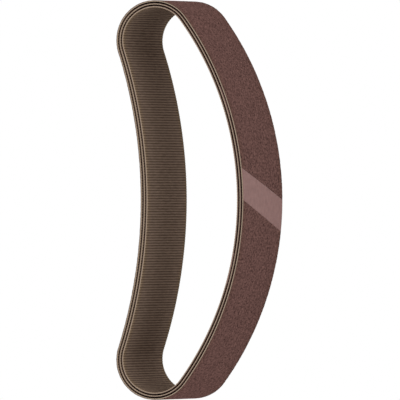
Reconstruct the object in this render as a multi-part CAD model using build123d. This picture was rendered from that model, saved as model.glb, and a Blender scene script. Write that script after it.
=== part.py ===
"""A nest of three sanding belts, one inside another, standing on their cut edges.

Row frame, in millimetres: +Z is up and runs across the belts' width, +Y runs along the nest's
long side, and +X points out of the flank that bulges. The origin is at the middle of the base.

Seen from above, every belt is the same closed loop of four tangent arcs: a flank that is pushed
in, a flank that bulges out, and a round bend at each end. All the loops are offsets of one
reference loop, which is the inside face of the middle belt.
"""

import os
from math import cos, pi, radians, sin, tan

from build123d import *

# The belts: a cloth strip, a layer of resin, and the abrasive grain that the resin holds.
BELT_WIDTH = 40.0
BELT_LENGTH = 260.0  # inside circumference, measured on the middle belt
CLOTH_THICKNESS = 0.32
BOND_THICKNESS = 0.05
GRAIN_THICKNESS = 0.08

# The nest's shape. Each angle is half of the arc that the flank turns through.
NEST_GAP = 0.37  # free space between one belt and the next
BEND_RADIUS = 10.4  # of the reference loop
HOLLOW_ANGLE = 18.1
BULGE_ANGLE = 36.6

# The splice, where the strip's two slanted ends meet under a strip of film.
SPLICE_SLANT = 12.9  # degrees away from square across the belt
FILM_LENGTH = 9.4  # along the belt
FILM_THICKNESS = 0.11
BUTT_GAP = 0.06  # between the two ends of the cloth

# Where each belt's splice lies, in degrees round the bulging flank from its middle.
SPLICE_PLACES = {"inner": -16.0, "middle": 16.0, "outer": 0.0}

BELT_THICKNESS = CLOTH_THICKNESS + BOND_THICKNESS + GRAIN_THICKNESS
NEST_STEP = BELT_THICKNESS + NEST_GAP  # from one belt's inside face to the next one's
CUTTER_DEPTH = 4 * BELT_THICKNESS  # a cutter passes right through one belt's wall

# The inside face of each belt, as an offset from the reference loop.
BELT_OFFSETS = {"inner": -NEST_STEP, "middle": 0.0, "outer": NEST_STEP}

# The reference loop is closed by the distance from the middle to each bend's centre.
hollow = radians(HOLLOW_ANGLE)
bulge = radians(BULGE_ANGLE)
HALF_SPAN = (BELT_LENGTH - 2 * pi * BEND_RADIUS) / (2 * (hollow / sin(hollow) + bulge / sin(bulge)))
HOLLOW_RADIUS = HALF_SPAN / sin(hollow) - BEND_RADIUS
BULGE_RADIUS = HALF_SPAN / sin(bulge) + BEND_RADIUS

# Centres of the arcs. The bulge's rise over the bends is shared out so that X is centred.
BEND_X = -HALF_SPAN * tan(bulge / 2) / 2
HOLLOW_CENTRE_X = BEND_X - HALF_SPAN / tan(hollow)
BULGE_CENTRE_X = BEND_X - HALF_SPAN / tan(bulge)


def loop_face(offset):
    """The area inside the loop that lies offset outside the reference loop."""
    turn = 180 + HOLLOW_ANGLE - BULGE_ANGLE
    hollow_flank = CenterArc(
        (HOLLOW_CENTRE_X, 0), HOLLOW_RADIUS - offset, -HOLLOW_ANGLE, 2 * HOLLOW_ANGLE
    )
    front_bend = CenterArc((BEND_X, HALF_SPAN), BEND_RADIUS + offset, BULGE_ANGLE, turn)
    bulging_flank = CenterArc(
        (BULGE_CENTRE_X, 0), BULGE_RADIUS + offset, -BULGE_ANGLE, 2 * BULGE_ANGLE
    )
    back_bend = CenterArc((BEND_X, -HALF_SPAN), BEND_RADIUS + offset, 180 - HOLLOW_ANGLE, turn)
    return make_face(Wire([hollow_flank, front_bend, bulging_flank, back_bend]))


def layer(inside, thickness):
    """A closed band of that thickness, as wide as the belt, whose inside face is at an offset."""
    return extrude(loop_face(inside + thickness) - loop_face(inside), BELT_WIDTH)


def splice_cutter(inside, place, length):
    """A slanted block through a belt's wall, as long along the belt as its splice or its slit."""
    block = Box(CUTTER_DEPTH, length * cos(radians(SPLICE_SLANT)), 2 * BELT_WIDTH)
    wall = Pos(BULGE_RADIUS + inside + BELT_THICKNESS / 2, 0, BELT_WIDTH / 2)
    pivot = Pos(BULGE_CENTRE_X, 0, 0)
    return pivot * Rot(0, 0, place) * wall * Rot(-SPLICE_SLANT, 0, 0) * block


def belt(name):
    """One belt's solids by node name, from the inside face outwards."""
    inside = BELT_OFFSETS[name]
    on_cloth = inside + CLOTH_THICKNESS
    on_bond = on_cloth + BOND_THICKNESS
    slit = splice_cutter(inside, SPLICE_PLACES[name], BUTT_GAP)
    splice = splice_cutter(inside, SPLICE_PLACES[name], FILM_LENGTH)
    return {
        f"{name}_belt_cloth_backing": layer(inside, CLOTH_THICKNESS) - slit,
        f"{name}_belt_resin_bond": layer(on_cloth, BOND_THICKNESS) - splice,
        f"{name}_belt_abrasive_grain": layer(on_bond, GRAIN_THICKNESS) - splice,
        f"{name}_belt_splice_film": layer(on_cloth, FILM_THICKNESS) & splice,
    }


os.makedirs("parts", exist_ok=True)
for belt_name in BELT_OFFSETS:
    for node, solid in belt(belt_name).items():
        export_step(solid, f"parts/{node}.step")

print(f"half span {HALF_SPAN:.3f}, hollow radius {HOLLOW_RADIUS:.3f}, bulge radius {BULGE_RADIUS:.3f}")
print(f"bend x {BEND_X:.3f}, hollow centre x {HOLLOW_CENTRE_X:.3f}, bulge centre x {BULGE_CENTRE_X:.3f}")
for belt_name, offset in BELT_OFFSETS.items():
    print(f"{belt_name} belt: inside circumference {BELT_LENGTH + 2 * pi * offset:.1f}")
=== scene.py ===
# %% [markdown]
# # A nest of three sanding belts
# Small hand-held belt sanders take narrow endless belts, sold nested one inside another. Each belt is
# a strip of ribbed cotton cloth with abrasive grain glued to its outside. Its two slanted ends meet
# under a strip of film. Pressed together, the belts spring into the round-ended kidney shape made here.
#
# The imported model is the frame: it says where every layer of every belt lies. Its smooth solids have
# neither ribs nor grain, so each one is replaced by a mesh that has them.

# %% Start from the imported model
from math import cos, degrees, pi, radians, sin, tan

import bpy
import numpy as np
from mathutils import Matrix, Vector


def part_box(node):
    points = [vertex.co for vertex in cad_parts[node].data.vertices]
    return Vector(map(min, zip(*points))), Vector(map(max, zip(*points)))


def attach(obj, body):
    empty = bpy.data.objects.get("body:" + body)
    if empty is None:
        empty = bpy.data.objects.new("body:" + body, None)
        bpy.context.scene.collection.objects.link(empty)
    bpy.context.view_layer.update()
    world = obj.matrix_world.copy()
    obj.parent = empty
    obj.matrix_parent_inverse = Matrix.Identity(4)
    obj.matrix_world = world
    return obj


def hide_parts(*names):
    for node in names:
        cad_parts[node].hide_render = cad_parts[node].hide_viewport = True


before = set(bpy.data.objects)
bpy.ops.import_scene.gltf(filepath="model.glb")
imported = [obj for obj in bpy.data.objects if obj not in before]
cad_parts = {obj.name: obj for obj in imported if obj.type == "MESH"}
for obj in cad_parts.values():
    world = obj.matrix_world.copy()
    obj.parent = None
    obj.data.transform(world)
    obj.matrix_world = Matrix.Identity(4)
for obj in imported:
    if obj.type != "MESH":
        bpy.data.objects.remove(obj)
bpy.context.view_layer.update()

MM = 0.001
BELTS = ("inner", "middle", "outer")

# %% [markdown]
# ## The loop that the belts follow
# Seen from above, every belt is the same closed loop of tangent arcs: half of the bulging flank, a round
# bend, the hollow flank, the other bend, and the other half of the bulge. Concentric loops share their
# arcs' centres, so one list of arcs serves every layer once its bend radius is known. Each arc is
# written by the direction that the belt's outside faces at its two ends, and the hollow flank has a
# negative radius, because it curves the other way.
#
# The middle belt's box says where the arcs lie. Its length is two half spans, between the centres of
# the bends, and two bend radii. Its width is two bend radii and the rise of the bulge. So the half span
# follows from the two.

# %% The arcs, from the middle belt's box
HOLLOW_ANGLE = radians(18.1)
BULGE_ANGLE = radians(36.6)
CLOTH_THICKNESS = 0.32 * MM

low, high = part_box("middle_belt_cloth_backing")
HALF_SPAN = (2 * high.y - (high.x - low.x)) / (2 - tan(BULGE_ANGLE / 2))
BEND_X = low.x + high.y - HALF_SPAN
HOLLOW_X = BEND_X - HALF_SPAN / tan(HOLLOW_ANGLE)
BULGE_X = BEND_X - HALF_SPAN / tan(BULGE_ANGLE)


def arcs(bend_radius):
    """The loop's arcs: centre x and y, signed radius, and the outward direction at start and end."""
    bulge_radius = HALF_SPAN / sin(BULGE_ANGLE) + bend_radius
    hollow_radius = HALF_SPAN / sin(HOLLOW_ANGLE) - bend_radius
    return np.array([
        (BULGE_X, 0, bulge_radius, 0, BULGE_ANGLE),
        (BEND_X, HALF_SPAN, bend_radius, BULGE_ANGLE, pi + HOLLOW_ANGLE),
        (HOLLOW_X, 0, -hollow_radius, pi + HOLLOW_ANGLE, pi - HOLLOW_ANGLE),
        (BEND_X, -HALF_SPAN, bend_radius, pi - HOLLOW_ANGLE, 2 * pi - BULGE_ANGLE),
        (BULGE_X, 0, bulge_radius, 2 * pi - BULGE_ANGLE, 2 * pi),
    ])


def circumference(bend_radius):
    return sum(radius * (end - start) for _, _, radius, start, end in arcs(bend_radius))


def on_loop(way, depth, bend_radius):
    """X and Y of points that lie way along a loop and depth outside it."""
    table = arcs(bend_radius)
    lengths = table[:, 2] * (table[:, 4] - table[:, 3])
    ends = np.cumsum(lengths)
    way = np.mod(way, ends[-1])
    piece = np.minimum(np.searchsorted(ends, way, side="right"), len(table) - 1)
    x, y, radius, start, _ = table[piece].transpose(2, 0, 1)
    facing = start + (way - (ends - lengths)[piece]) / radius
    return x + (radius + depth) * np.cos(facing), y + (radius + depth) * np.sin(facing)


def inside_bend(belt):
    """The bend radius of a belt's inside face, from its cloth's box."""
    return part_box(f"{belt}_belt_cloth_backing")[1].y - HALF_SPAN - CLOTH_THICKNESS


BELT_WIDTH = high.z - low.z
for belt in BELTS:
    print(f"{belt} belt: inside circumference {circumference(inside_bend(belt)) / MM:.1f} mm")

# %% [markdown]
# ## Layers as grids
# Every layer is a strip: long along the belt, narrow across it, and thin in depth. So every mesh is the
# same grid. Each column of the grid is a closed ring round the strip's section: up its inside face,
# over the top edge, down its outside face and back under. A UV map keeps each point's place on the
# flat strip, which is where threads and grain belong. A second one unrolls the rings and lays the
# strip's length in two rows, so that it fills a square. Finishes can be baked through it to an image.

# %% A map for baking
BAKE_ROWS = 2
BAKE_MARGIN = 0.003


def bake_places(columns, round_ring):
    """The second map's place for each corner of a strip's faces, from the distances round its ring."""
    ring = len(round_ring) - 1
    column, side = np.indices((columns - 1, ring))
    row = (column * BAKE_ROWS // (columns - 1))[:, :, None]
    across_map = (column[:, :, None] + np.array([0, 0, 1, 1])) * BAKE_ROWS / (columns - 1) - row
    up_map = (row + round_ring[side[:, :, None] + np.array([0, 1, 1, 0])] / round_ring[-1]) / BAKE_ROWS
    end = round_ring[:-1] / round_ring[-1] / BAKE_ROWS
    first_end = np.stack([np.zeros(ring), end[::-1]], axis=1)
    last_end = np.stack([np.ones(ring), 1 - 1 / BAKE_ROWS + end], axis=1)
    places = np.concatenate([np.stack([across_map, up_map], axis=3).reshape(-1, 2), first_end, last_end])
    return BAKE_MARGIN + (1 - 2 * BAKE_MARGIN) * places


print("the baking map lays each strip in", BAKE_ROWS, "rows")

# %% A strip from a grid
def strip(name, belt, way, depth, across, finishes, finish_of_side):
    """A closed mesh from rings of points: way past the splice, depth outside the belt's inside face,
    and place across its width. Each side of the ring takes one of the finishes, and both end faces
    take the last side's."""
    columns, ring = way.shape
    x, y = on_loop(SPLICE_WAY[belt] + way, depth, inside_bend(belt))
    points = np.stack([x, y, across], axis=2).reshape(-1, 3)
    corner = np.arange(columns * ring).reshape(columns, ring)
    after = np.roll(corner, -1, axis=1)
    sides = np.stack([corner[:-1], after[:-1], after[1:], corner[1:]], axis=2).reshape(-1, 4)
    faces = [*sides.tolist(), corner[0][::-1].tolist(), corner[-1].tolist()]
    mesh = bpy.data.meshes.new(name)
    mesh.from_pydata(points.tolist(), [], faces)
    flat_place = np.stack([way, across], axis=2).reshape(-1, 2)
    corners = np.zeros(len(mesh.loops), np.int32)
    mesh.loops.foreach_get("vertex_index", corners)
    mesh.uv_layers.new(name="flat_strip").uv.foreach_set("vector", flat_place[corners].ravel())
    steps = np.hypot(np.diff(depth[0], append=depth[0, 0]), np.diff(across[0], append=across[0, 0]))
    round_ring = np.concatenate([[0], np.cumsum(steps)])
    mesh.uv_layers.new(name="OFBake").uv.foreach_set("vector", bake_places(columns, round_ring).ravel())
    for finish in finishes:
        mesh.materials.append(finish)
    finish_of_face = np.append(np.tile(finish_of_side, columns - 1), [finish_of_side[-1]] * 2)
    mesh.polygons.foreach_set("material_index", finish_of_face.astype(np.int32))
    mesh.polygons.foreach_set("use_smooth", np.ones(len(faces), bool))
    mesh.update()
    piece = bpy.data.objects.new(name, mesh)
    bpy.context.scene.collection.objects.link(piece)
    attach(piece, f"{belt}_belt")
    return piece


# %% Where the splices are
SPLICE_SLANT = radians(12.9)
SPLICE_PLACES = {"inner": radians(-16), "middle": radians(16), "outer": 0.0}
FILM_LENGTH = 9.4 * MM
LEAN_REACH = 12 * MM
SPLICE_WAY = {belt: SPLICE_PLACES[belt] * arcs(inside_bend(belt))[0, 2] for belt in BELTS}


def leaned(way, across):
    """Moves a grid's columns so that both of its ends lie on the splice's slant, as its middle stays."""
    along = way[:, :1]
    from_cut = np.minimum(along - along[0], along[-1] - along)
    lean = np.clip(1 - from_cut / LEAN_REACH, 0, 1)
    return way + lean * lean * (3 - 2 * lean) * tan(SPLICE_SLANT) * (across - BELT_WIDTH / 2)


print("splices lie", {belt: round(way / MM, 1) for belt, way in SPLICE_WAY.items()}, "mm along")

# %% [markdown]
# ## Colours and nodes
# Colours are written as on a screen, in sRGB hex, and one function makes them linear, which is what
# shaders take. Another one adds a node with its settings and links, so that each material below reads
# as the list of what it is made of. A Mix node has a pair of sockets for each kind of value, all with
# the same names, so they are called by number. Patterns read the flat strip's UV map, in metres.

# %% Helpers for materials
COLOUR_A, COLOUR_B, COLOUR_OUT = 6, 7, 2
NUMBER_A, NUMBER_B = 2, 3


def linear(hex_colour):
    """An sRGB colour such as #808080 as the linear values that a shader takes."""
    shown = np.array([int(hex_colour[i:i + 2], 16) for i in (1, 3, 5)]) / 255
    return (*np.where(shown <= 0.04045, shown / 12.92, ((shown + 0.055) / 1.055) ** 2.4), 1.0)


def add(tree, kind, inputs, **settings):
    """Adds a node. Each input gets a value, or a link when it is another node's output."""
    node = tree.nodes.new(kind)
    for name, value in settings.items():
        setattr(node, name, value)
    for name, value in inputs.items():
        if isinstance(value, bpy.types.NodeSocket):
            tree.links.new(value, node.inputs[name])
        else:
            node.inputs[name].default_value = value
    return node


def new_finish(name):
    """A new material, its node tree and its shader, which is linked to the output."""
    material = bpy.data.materials.new(name)
    material.use_nodes = True
    tree = material.node_tree
    shader = tree.nodes["Principled BSDF"]
    return material, tree, shader


print("grey #808080 is", round(float(linear("#808080")[0]), 3), "in linear light")

# %% [markdown]
# ## Painted edge shade
# Cloth and grain are both drawn a little warmer within 4 mm of the slit edges, and the grain a little
# darker too: the darkening is painted shade along the edges. The cause is a guess: resin can yellow in
# air, which reaches it from the side there. A ping-pong wave turns the place across the belt into the
# distance from its nearer edge.

# %% Painted shade and warmth along both edges
# Near both slit edges the grain is drawn darker, as painted shade, and both layers are drawn warmer.
EDGE_SHADE_FROM = 4.0 * MM
EDGE_SHADE_FULL = 0.3 * MM
CLOTH_EDGE_SHADE_AND_WARMTH = (1.0, 0.98, 0.84, 1.0)
GRAIN_EDGE_SHADE_AND_WARMTH = (0.93, 0.92, 0.86, 1.0)


def edge_shade_and_warmth(tree, place, colour, shade_and_warmth):
    """The colour, multiplied near both edges of the belt by a warmer tint and a painted shade."""
    across = add(tree, "ShaderNodeSeparateXYZ", {"Vector": place}).outputs["Y"]
    from_edge = add(tree, "ShaderNodeMath", {0: across, 1: BELT_WIDTH / 2}, operation="PINGPONG")
    amount = add(tree, "ShaderNodeMapRange",
                 {"Value": from_edge.outputs[0], "From Min": EDGE_SHADE_FROM, "From Max": EDGE_SHADE_FULL})
    shaded_and_warmed = add(tree, "ShaderNodeMix",
                  {"Factor": amount.outputs[0], COLOUR_A: colour, COLOUR_B: shade_and_warmth},
                  data_type="RGBA", blend_type="MULTIPLY")
    return shaded_and_warmed.outputs[COLOUR_OUT]


print("stained to", EDGE_SHADE_FROM / MM, "mm from each edge")

# %% [markdown]
# ## Ribbed cotton
# The backing is cotton cloth, woven with a rib across the belt and stiffened with resin and dye. A
# filled cloth has no sheen. Its ribs are painted lighter on top and darker in the grooves: painted light
# and shade, added to the real ribs' own shading. The warp runs along the belt and takes its pull. Each
# warp yarn passes over one rib and under the next, so the bumps that the yarns make are half a step
# apart on neighbouring ribs, and the raised yarns are painted a little lighter, as painted light. Yarns
# for a cloth this thin would be roughly 0.3 mm apart, too fine to show, and are drawn 0.45 mm apart.
# Noise stretched along each rib makes the ribs uneven, and a finer one is the twist of the yarns.

# %% The cloth's back
RIB_PITCH = 0.767 * MM
WARP_PITCH = 0.45 * MM
YARN_TWIST = 0.25 * MM
UNEVEN_STRETCH = 6
UNEVEN_TONE = 0.9
# The next value paints the raised warp yarns a little lighter: painted light.
WARP_PAINTED_LIGHT = 0.10
WARP_HEIGHT = 0.4


def warp_bumps(tree, way, across):
    """From -1 to 1: how high the warp yarns stand, stepped by half a repeat from rib to rib."""
    ribs = add(tree, "ShaderNodeMath", {0: way, 1: RIB_PITCH}, operation="DIVIDE")
    rib_number = add(tree, "ShaderNodeMath", {0: ribs.outputs[0]}, operation="ROUND")
    repeats = add(tree, "ShaderNodeMath", {0: across, 1: WARP_PITCH}, operation="DIVIDE")
    half_turns = add(tree, "ShaderNodeMath", {0: rib_number.outputs[0], 1: repeats.outputs[0]},
                     operation="ADD")
    turn = add(tree, "ShaderNodeMath", {0: half_turns.outputs[0], 1: pi}, operation="MULTIPLY")
    return add(tree, "ShaderNodeMath", {0: turn.outputs[0]}, operation="COSINE").outputs[0]


def ribbed_cotton():
    material, tree, shader = new_finish("ribbed_cotton_cloth")
    place = add(tree, "ShaderNodeUVMap", {}, uv_map="flat_strip").outputs["UV"]
    split = add(tree, "ShaderNodeSeparateXYZ", {"Vector": place})
    turn = add(tree, "ShaderNodeMath", {0: split.outputs["X"], 1: 2 * pi / RIB_PITCH}, operation="MULTIPLY")
    wave = add(tree, "ShaderNodeMath", {0: turn.outputs[0]}, operation="COSINE")
    # One at each rib's crest: the crest is painted light and the groove painted shade.
    crest_light = add(tree, "ShaderNodeMapRange", {"Value": wave.outputs[0], "From Min": -1.0})
    along_ribs = (1 / RIB_PITCH, 1 / (UNEVEN_STRETCH * RIB_PITCH), 0)
    stretched = add(tree, "ShaderNodeVectorMath", {0: place, 1: along_ribs}, operation="MULTIPLY")
    yarns = add(tree, "ShaderNodeTexNoise", {"Vector": stretched.outputs[0], "Scale": 1.0, "Detail": 3.0})
    twists = add(tree, "ShaderNodeTexNoise", {"Vector": place, "Scale": 1 / YARN_TWIST, "Detail": 2.0})
    uneven = add(tree, "ShaderNodeMath", {0: yarns.outputs["Fac"], 1: 0.5}, operation="SUBTRACT")
    warp = warp_bumps(tree, split.outputs["X"], split.outputs["Y"])
    uneven_tone_and_rib_light = add(tree, "ShaderNodeMath", {0: uneven.outputs[0], 1: UNEVEN_TONE, 2: crest_light.outputs[0]},
                   operation="MULTIPLY_ADD")
    # The raised warp yarns are painted a little lighter, as painted light.
    tone = add(tree, "ShaderNodeMath", {0: warp, 1: WARP_PAINTED_LIGHT, 2: uneven_tone_and_rib_light.outputs[0]},
               operation="MULTIPLY_ADD", use_clamp=True)
    # Painted shade in the grooves and painted light on the rib tops, over the real ribs' shading.
    groove, top = linear("#5c4d43"), linear("#8d796a")
    colour = add(tree, "ShaderNodeMix", {"Factor": tone.outputs[0], COLOUR_A: groove, COLOUR_B: top},
                 data_type="RGBA")
    # Painted shade and a warmer tint near both slit edges of the cloth.
    shaded_and_warmed = edge_shade_and_warmth(tree, place, colour.outputs[COLOUR_OUT], CLOTH_EDGE_SHADE_AND_WARMTH)
    height = add(tree, "ShaderNodeMath", {0: warp, 1: WARP_HEIGHT, 2: twists.outputs["Fac"]},
                 operation="MULTIPLY_ADD")
    bump = add(tree, "ShaderNodeBump",
               {"Height": height.outputs[0], "Strength": 0.6, "Distance": 0.03 * MM})
    tree.links.new(shaded_and_warmed, shader.inputs["Base Color"])
    tree.links.new(bump.outputs[0], shader.inputs["Normal"])
    shader.inputs["Roughness"].default_value = 0.85
    shader.inputs["IOR"].default_value = 1.5
    shader.inputs["Specular IOR Level"].default_value = 0.0
    return material


COTTON = ribbed_cotton()
print("made", COTTON.name, "with", round(10 * MM / RIB_PITCH, 1), "ribs to the centimetre")

# %% [markdown]
# ## The cut edge of the cloth
# Belts are slit from a wide roll, so both long edges show raw cotton: the ends of the ribs' yarns,
# paler than the dyed and filled back. Each yarn's end shows as a fleck. The flat strip's map has no
# depth, so these flecks read the place in the object instead, which moves with the belt.

# %% The cut edge
def raw_cotton_edge():
    material, tree, shader = new_finish("raw_cotton_edge")
    place = add(tree, "ShaderNodeTexCoord", {}).outputs["Object"]
    flecks = add(tree, "ShaderNodeTexNoise", {"Vector": place, "Scale": 1 / YARN_TWIST, "Detail": 2.0})
    filler, fibre = linear("#8b7b6b"), linear("#a89481")
    colour = add(tree, "ShaderNodeMix", {"Factor": flecks.outputs["Fac"], COLOUR_A: filler, COLOUR_B: fibre},
                 data_type="RGBA")
    tree.links.new(colour.outputs[COLOUR_OUT], shader.inputs["Base Color"])
    shader.inputs["Roughness"].default_value = 0.9
    shader.inputs["IOR"].default_value = 1.5
    shader.inputs["Specular IOR Level"].default_value = 0.0
    return material


COTTON_EDGE = raw_cotton_edge()
print("made", COTTON_EDGE.name)

# %% [markdown]
# ## Phenolic resin
# The grain is held by two coats of phenolic resin, which cures dark brown and slightly glossy. It shows
# at the belt's edges, as a line between the cloth and the grain.

# %% The bond
BLOTCH_WIDTH = 1.0 * MM


def phenolic_resin():
    material, tree, shader = new_finish("phenolic_resin")
    place = add(tree, "ShaderNodeUVMap", {}, uv_map="flat_strip").outputs["UV"]
    blotches = add(tree, "ShaderNodeTexNoise", {"Vector": place, "Scale": 1 / BLOTCH_WIDTH, "Detail": 2.0})
    thick, thin = linear("#2a1712"), linear("#4a2c22")
    colour = add(tree, "ShaderNodeMix", {"Factor": blotches.outputs["Fac"], COLOUR_A: thick, COLOUR_B: thin},
                 data_type="RGBA")
    tree.links.new(colour.outputs[COLOUR_OUT], shader.inputs["Base Color"])
    shader.inputs["Roughness"].default_value = 0.45
    shader.inputs["IOR"].default_value = 1.6
    return material


RESIN = phenolic_resin()
print("made", RESIN.name)

# %% [markdown]
# ## Aluminium oxide grain
# Fused brown aluminium oxide is a hard, reddish-brown mineral. Crushed and spread on the belt, its
# grains face every way, so the layer looks matt and has no sheen of its own. Real grit this fine is
# under 0.1 mm, too small to show, so the grains are drawn about 0.4 mm wide. Half of the tone is each
# grain's own. The other half comes in clumps, longer across the belt than along it, because the
# cloth's ribs lie under the coats and gather the grain.

# %% The grain
GRAIN_WIDTH = 0.40 * MM
CLUMP_WIDTH = 0.55 * MM
CLUMP_STRETCH = 2.5


def aluminium_oxide_grain():
    material, tree, shader = new_finish("aluminium_oxide_grain")
    place = add(tree, "ShaderNodeUVMap", {}, uv_map="flat_strip").outputs["UV"]
    grains = add(tree, "ShaderNodeTexVoronoi",
                 {"Vector": place, "Scale": 1 / GRAIN_WIDTH, "Randomness": 1.0})
    one_grain = add(tree, "ShaderNodeSeparateXYZ", {"Vector": grains.outputs["Color"]}).outputs["X"]
    along_ribs = (1 / CLUMP_WIDTH, 1 / (CLUMP_STRETCH * CLUMP_WIDTH), 0)
    stretched = add(tree, "ShaderNodeVectorMath", {0: place, 1: along_ribs}, operation="MULTIPLY")
    clumps = add(tree, "ShaderNodeTexNoise",
                 {"Vector": stretched.outputs[0], "Scale": 1.0, "Detail": 2.0})
    spread = add(tree, "ShaderNodeMapRange",
                 {"Value": clumps.outputs["Fac"], "From Min": 0.3, "From Max": 0.7})
    tone = add(tree, "ShaderNodeMix", {"Factor": 0.5, NUMBER_A: one_grain, NUMBER_B: spread.outputs[0]})
    dark, light = linear("#2c1d1b"), linear("#775852")
    colour = add(tree, "ShaderNodeMix", {"Factor": tone.outputs[0], COLOUR_A: dark, COLOUR_B: light},
                 data_type="RGBA")
    # Painted shade and a warmer tint near both slit edges of the grain.
    shaded_and_warmed = edge_shade_and_warmth(tree, place, colour.outputs[COLOUR_OUT], GRAIN_EDGE_SHADE_AND_WARMTH)
    bump = add(tree, "ShaderNodeBump",
               {"Height": grains.outputs["Distance"], "Strength": 0.6, "Distance": 0.05 * MM},
               invert=True)
    tree.links.new(shaded_and_warmed, shader.inputs["Base Color"])
    tree.links.new(bump.outputs[0], shader.inputs["Normal"])
    shader.inputs["Roughness"].default_value = 0.6
    shader.inputs["IOR"].default_value = 1.76
    shader.inputs["Specular IOR Level"].default_value = 0.0
    return material


GRAIN = aluminium_oxide_grain()
print("made", GRAIN.name, "with grains drawn", round(GRAIN_WIDTH / MM, 2), "mm wide")

# %% [markdown]
# ## Splice film
# The two ends of the strip are ground thin and glued under a polyester film, coloured to go with the
# grain but smooth and paler. Pressed on hot, it takes a faint print of the grain that lies under it.

# %% The film
CLOUD_WIDTH = 2 * MM


def polyester_film():
    material, tree, shader = new_finish("polyester_splice_film")
    place = add(tree, "ShaderNodeUVMap", {}, uv_map="flat_strip").outputs["UV"]
    clouds = add(tree, "ShaderNodeTexNoise", {"Vector": place, "Scale": 1 / CLOUD_WIDTH, "Detail": 4.0})
    print_of_grain = add(tree, "ShaderNodeTexVoronoi", {"Vector": place, "Scale": 1 / GRAIN_WIDTH},
                         feature="SMOOTH_F1")
    rough = add(tree, "ShaderNodeMapRange",
                {"Value": clouds.outputs["Fac"], "To Min": 0.52, "To Max": 0.68})
    bump = add(tree, "ShaderNodeBump",
               {"Height": print_of_grain.outputs["Distance"], "Strength": 0.4, "Distance": 0.02 * MM})
    dark, light = linear("#6a4d4a"), linear("#8d6e69")
    colour = add(tree, "ShaderNodeMix", {"Factor": clouds.outputs["Fac"], COLOUR_A: dark, COLOUR_B: light},
                 data_type="RGBA")
    tree.links.new(colour.outputs[COLOUR_OUT], shader.inputs["Base Color"])
    tree.links.new(rough.outputs[0], shader.inputs["Roughness"])
    tree.links.new(bump.outputs[0], shader.inputs["Normal"])
    shader.inputs["IOR"].default_value = 1.57
    shader.inputs["Specular IOR Level"].default_value = 0.03
    return material


FILM = polyester_film()
print("made", FILM.name)

# %% [markdown]
# ## Cloth backings
# The ribs are real: the inside face rises and falls once for each rib. The two ends are cut on the
# splice's slant, but the ribs stay square across the belt, so only the columns near the cut lean. The
# two slit edges are slightly rounded, and a little ragged where the yarns were cut.

# %% Weave the cloth
RIB_DEPTH = 0.06 * MM
POINTS_PER_RIB = 6
CLOTH_ROWS = 28
BUTT_GAP = 0.06 * MM
EDGE_ROUND = 0.05 * MM


def cloth_backing(belt, rng):
    """A belt's cloth: ribs on its inside face, two ragged slit edges, and a smooth outside face."""
    length = circumference(inside_bend(belt))
    columns = round(length / RIB_PITCH * POINTS_PER_RIB)
    straight = np.linspace(0, length, columns + 1)
    straight[0] += BUTT_GAP / 2
    straight[-1] -= BUTT_GAP / 2

    inside = np.linspace(EDGE_ROUND, BELT_WIDTH - EDGE_ROUND, CLOTH_ROWS)
    third = CLOTH_THICKNESS / 3
    full = CLOTH_THICKNESS
    flat_depth = [*np.zeros(CLOTH_ROWS), third, 2 * third, full, full, 2 * third, third]
    top, bottom = BELT_WIDTH, 0.0
    height = [*inside, top, top, top - EDGE_ROUND, bottom + EDGE_ROUND, bottom, bottom]
    across = np.tile(height, (columns + 1, 1))
    depth = np.tile(flat_depth, (columns + 1, 1))
    way = leaned(np.tile(straight[:, None], (1, len(height))), across)

    edge = (np.array(height) == top) | (np.array(height) == bottom)
    ragged = rng.random((columns + 1, edge.sum())) * EDGE_ROUND
    across[:, edge] += np.where(across[:, edge] > BELT_WIDTH / 2, -ragged, ragged)
    groove = 0.5 - 0.5 * np.cos(2 * pi * way[:, :CLOTH_ROWS] / RIB_PITCH)
    depth[:, :CLOTH_ROWS] = RIB_DEPTH * groove

    # Raw cotton shows over the top edge and under the bottom one.
    finish_of_side = np.zeros(len(height), int)
    finish_of_side[CLOTH_ROWS - 1:CLOTH_ROWS + 2] = 1
    finish_of_side[CLOTH_ROWS + 3:] = 1
    name, finishes = f"{belt}_belt_ribbed_cloth", [COTTON, COTTON_EDGE]
    piece = strip(name, belt, way, depth, across, finishes, finish_of_side)
    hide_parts(f"{belt}_belt_cloth_backing")
    return piece


for seed, belt in enumerate(BELTS):
    cloth = cloth_backing(belt, np.random.default_rng(seed))
    print(cloth.name, len(cloth.data.polygons), "faces")

# %% [markdown]
# ## Resin, grain and film
# The three outer layers share one idea: each is a strip whose two ends are leaned onto the splice's
# slant, in the same way as the cloth's. The resin is plain. The grain's outside points are moved at
# random, up to a third of a grain sideways and up to 0.06 mm down from the tops of the tallest grains.
# The film fills the gap that the other two leave. Its points are moved about half as far sideways and
# at most 0.01 mm down, so it looks nearly smooth.

# %% Coat the cloth
def belt_depth(layer):
    """A layer's outer face, as a depth outside its belt's inside face."""
    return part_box(f"middle_belt_{layer}")[1].y - HALF_SPAN - inside_bend("middle")


BOND_TOP = belt_depth("resin_bond")
GRAIN_TOP = belt_depth("abrasive_grain")
FILM_THICKNESS = 0.11 * MM
FILM_TOP = CLOTH_THICKNESS + FILM_THICKNESS
BACK_ROWS = 9
SCATTER = 0.35
SCATTERED_FROM = 0.02 * MM


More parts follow.
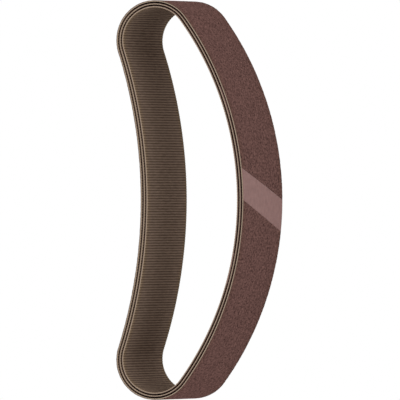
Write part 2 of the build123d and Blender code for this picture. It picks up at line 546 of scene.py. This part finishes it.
def leaning_strip(belt, name, span, step, base, top, rng, rough, finish):
    """A layer between two ends on the splice's slant, roughened on its outside face. Points there are
    scattered by up to SCATTER of a step, and by less where the face is smoother than SCATTERED_FROM."""
    start, end = span
    columns = round((end - start) / step)
    rows = round(BELT_WIDTH / step)
    up, down = np.linspace(0, BELT_WIDTH, BACK_ROWS), np.linspace(BELT_WIDTH, 0, rows + 1)
    heights = np.concatenate([up, down])
    across = np.tile(heights, (columns + 1, 1))
    way = np.tile(np.linspace(start, end, columns + 1)[:, None], (1, len(heights)))
    depth = np.full(way.shape, top)
    depth[:, :BACK_ROWS] = base
    depth[:, BACK_ROWS:] -= rough * rng.random((columns + 1, rows + 1))
    way = leaned(way, across)
    inner = np.s_[1:-1, BACK_ROWS + 1:-1]
    shift = min(1.0, rough / SCATTERED_FROM) * SCATTER * step
    way[inner] += shift * (2 * rng.random(way[inner].shape) - 1)
    across[inner] += shift * (2 * rng.random(way[inner].shape) - 1)
    finish_of_side = np.zeros(len(heights), int)
    return strip(f"{belt}_belt_{name}", belt, way, depth, across, [finish], finish_of_side)


print("resin, grain and film reach", [round(top / MM, 2) for top in (BOND_TOP, GRAIN_TOP, FILM_TOP)])

# %% The three coats of each belt
RESIN_STEP = 4 * GRAIN_WIDTH
GRAIN_STEP = 0.9 * GRAIN_WIDTH
FILM_STEP = GRAIN_WIDTH
GRAIN_ROUGHNESS = 0.06 * MM
FILM_ROUGHNESS = 0.01 * MM


def coat(belt, rng):
    length = circumference(inside_bend(belt))
    ends = (FILM_LENGTH / 2, length - FILM_LENGTH / 2)
    gap = (-FILM_LENGTH / 2, FILM_LENGTH / 2)
    cloth, coarse, smooth = CLOTH_THICKNESS, GRAIN_ROUGHNESS, FILM_ROUGHNESS
    bond = leaning_strip(belt, "resin", ends, RESIN_STEP, cloth, BOND_TOP, rng, 0.0, RESIN)
    grain = leaning_strip(belt, "grain", ends, GRAIN_STEP, BOND_TOP, GRAIN_TOP, rng, coarse, GRAIN)
    film = leaning_strip(belt, "film", gap, FILM_STEP, cloth, FILM_TOP, rng, smooth, FILM)
    for piece, node in ((bond, "resin_bond"), (grain, "abrasive_grain"), (film, "splice_film")):
        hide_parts(f"{belt}_belt_{node}")
        print(piece.name, len(piece.data.polygons), "faces")


for seed, belt in enumerate(BELTS, start=10):
    coat(belt, np.random.default_rng(seed))

# %% [markdown]
# ## Light table, light and camera
# The belts stand on a light table: a pale floor that is lit from below, so that it shows no shadow. It
# looks plain white from above, and the light that it gives the belts is set apart from that. A bright,
# even room and one wide lamp above give soft light. The camera looks almost straight down, from a
# little towards the bulging flank, through a very long lens, so that lines stay parallel. The nest
# fills the view from end to end.

# %% The light table
TABLE_GLOW = 0.5
TABLE_HALF = 1.5


def light_table():
    mesh = bpy.data.meshes.new("light_table")
    corners = [(x * TABLE_HALF, y * TABLE_HALF, 0) for x, y in ((-1, -1), (1, -1), (1, 1), (-1, 1))]
    mesh.from_pydata(corners, [], [(0, 1, 2, 3)])
    floor = bpy.data.objects.new("light_table", mesh)
    bpy.context.scene.collection.objects.link(floor)
    material, tree, shader = new_finish("opal_light_table")
    shader.inputs["Base Color"].default_value = linear("#cccccc")
    shader.inputs["Emission Color"].default_value = linear("#ffffff")
    shader.inputs["Emission Strength"].default_value = TABLE_GLOW
    shader.inputs["Specular IOR Level"].default_value = 0.0
    seen = add(tree, "ShaderNodeLightPath", {}).outputs["Is Camera Ray"]
    white = add(tree, "ShaderNodeEmission", {"Color": linear("#ffffff"), "Strength": 1.0})
    both = add(tree, "ShaderNodeMixShader", {0: seen, 1: shader.outputs[0], 2: white.outputs[0]})
    tree.links.new(both.outputs[0], tree.nodes["Material Output"].inputs["Surface"])
    mesh.materials.append(material)


light_table()
print("the light table is", 2 * TABLE_HALF, "m wide")

# %% The lamp and the room
def lamp(name, place, size, power):
    """A round lamp that faces the origin: its width in metres and its power in watts."""
    light = bpy.data.lights.new(name, "AREA")
    light.shape = "DISK"
    light.size = size
    light.energy = power
    holder = bpy.data.objects.new(name, light)
    holder.location = place
    holder.rotation_euler = (-Vector(place)).to_track_quat("-Z", "Y").to_euler()
    bpy.context.scene.collection.objects.link(holder)


def room(strength):
    world = bpy.data.worlds.new("studio")
    world.use_nodes = True
    world.node_tree.nodes["Background"].inputs["Color"].default_value = linear("#ffffff")
    world.node_tree.nodes["Background"].inputs["Strength"].default_value = strength
    bpy.context.scene.world = world


room(strength=1.0)
lamp("soft_box", place=(0.3, 0.4, 1.0), size=0.8, power=3.0)
bpy.context.scene.view_settings.view_transform = "Standard"
print("lamps:", [light.name for light in bpy.data.lights])

# %% The camera
LEAN = radians(16.65)
LENS = 1700.0
VIEW_WIDTH = 116.95 * MM
AIM_ASIDE = 0.12 * MM

towards = Vector((sin(LEAN), 0, cos(LEAN)))
right = Vector((cos(LEAN), 0, -sin(LEAN)))
middle = Vector((0, 0, BELT_WIDTH / 2)) + AIM_ASIDE * right
camera = bpy.data.objects.new("camera", bpy.data.cameras.new("camera"))
camera.data.lens = LENS
distance = VIEW_WIDTH * LENS / camera.data.sensor_width
turn = Matrix((right, Vector((0, 1, 0)), towards)).transposed().to_4x4()
camera.matrix_world = Matrix.Translation(middle + distance * towards) @ turn
bpy.context.scene.collection.objects.link(camera)
bpy.context.scene.camera = camera
print(f"camera {distance:.2f} m away, leaning {degrees(LEAN):.1f} degrees")
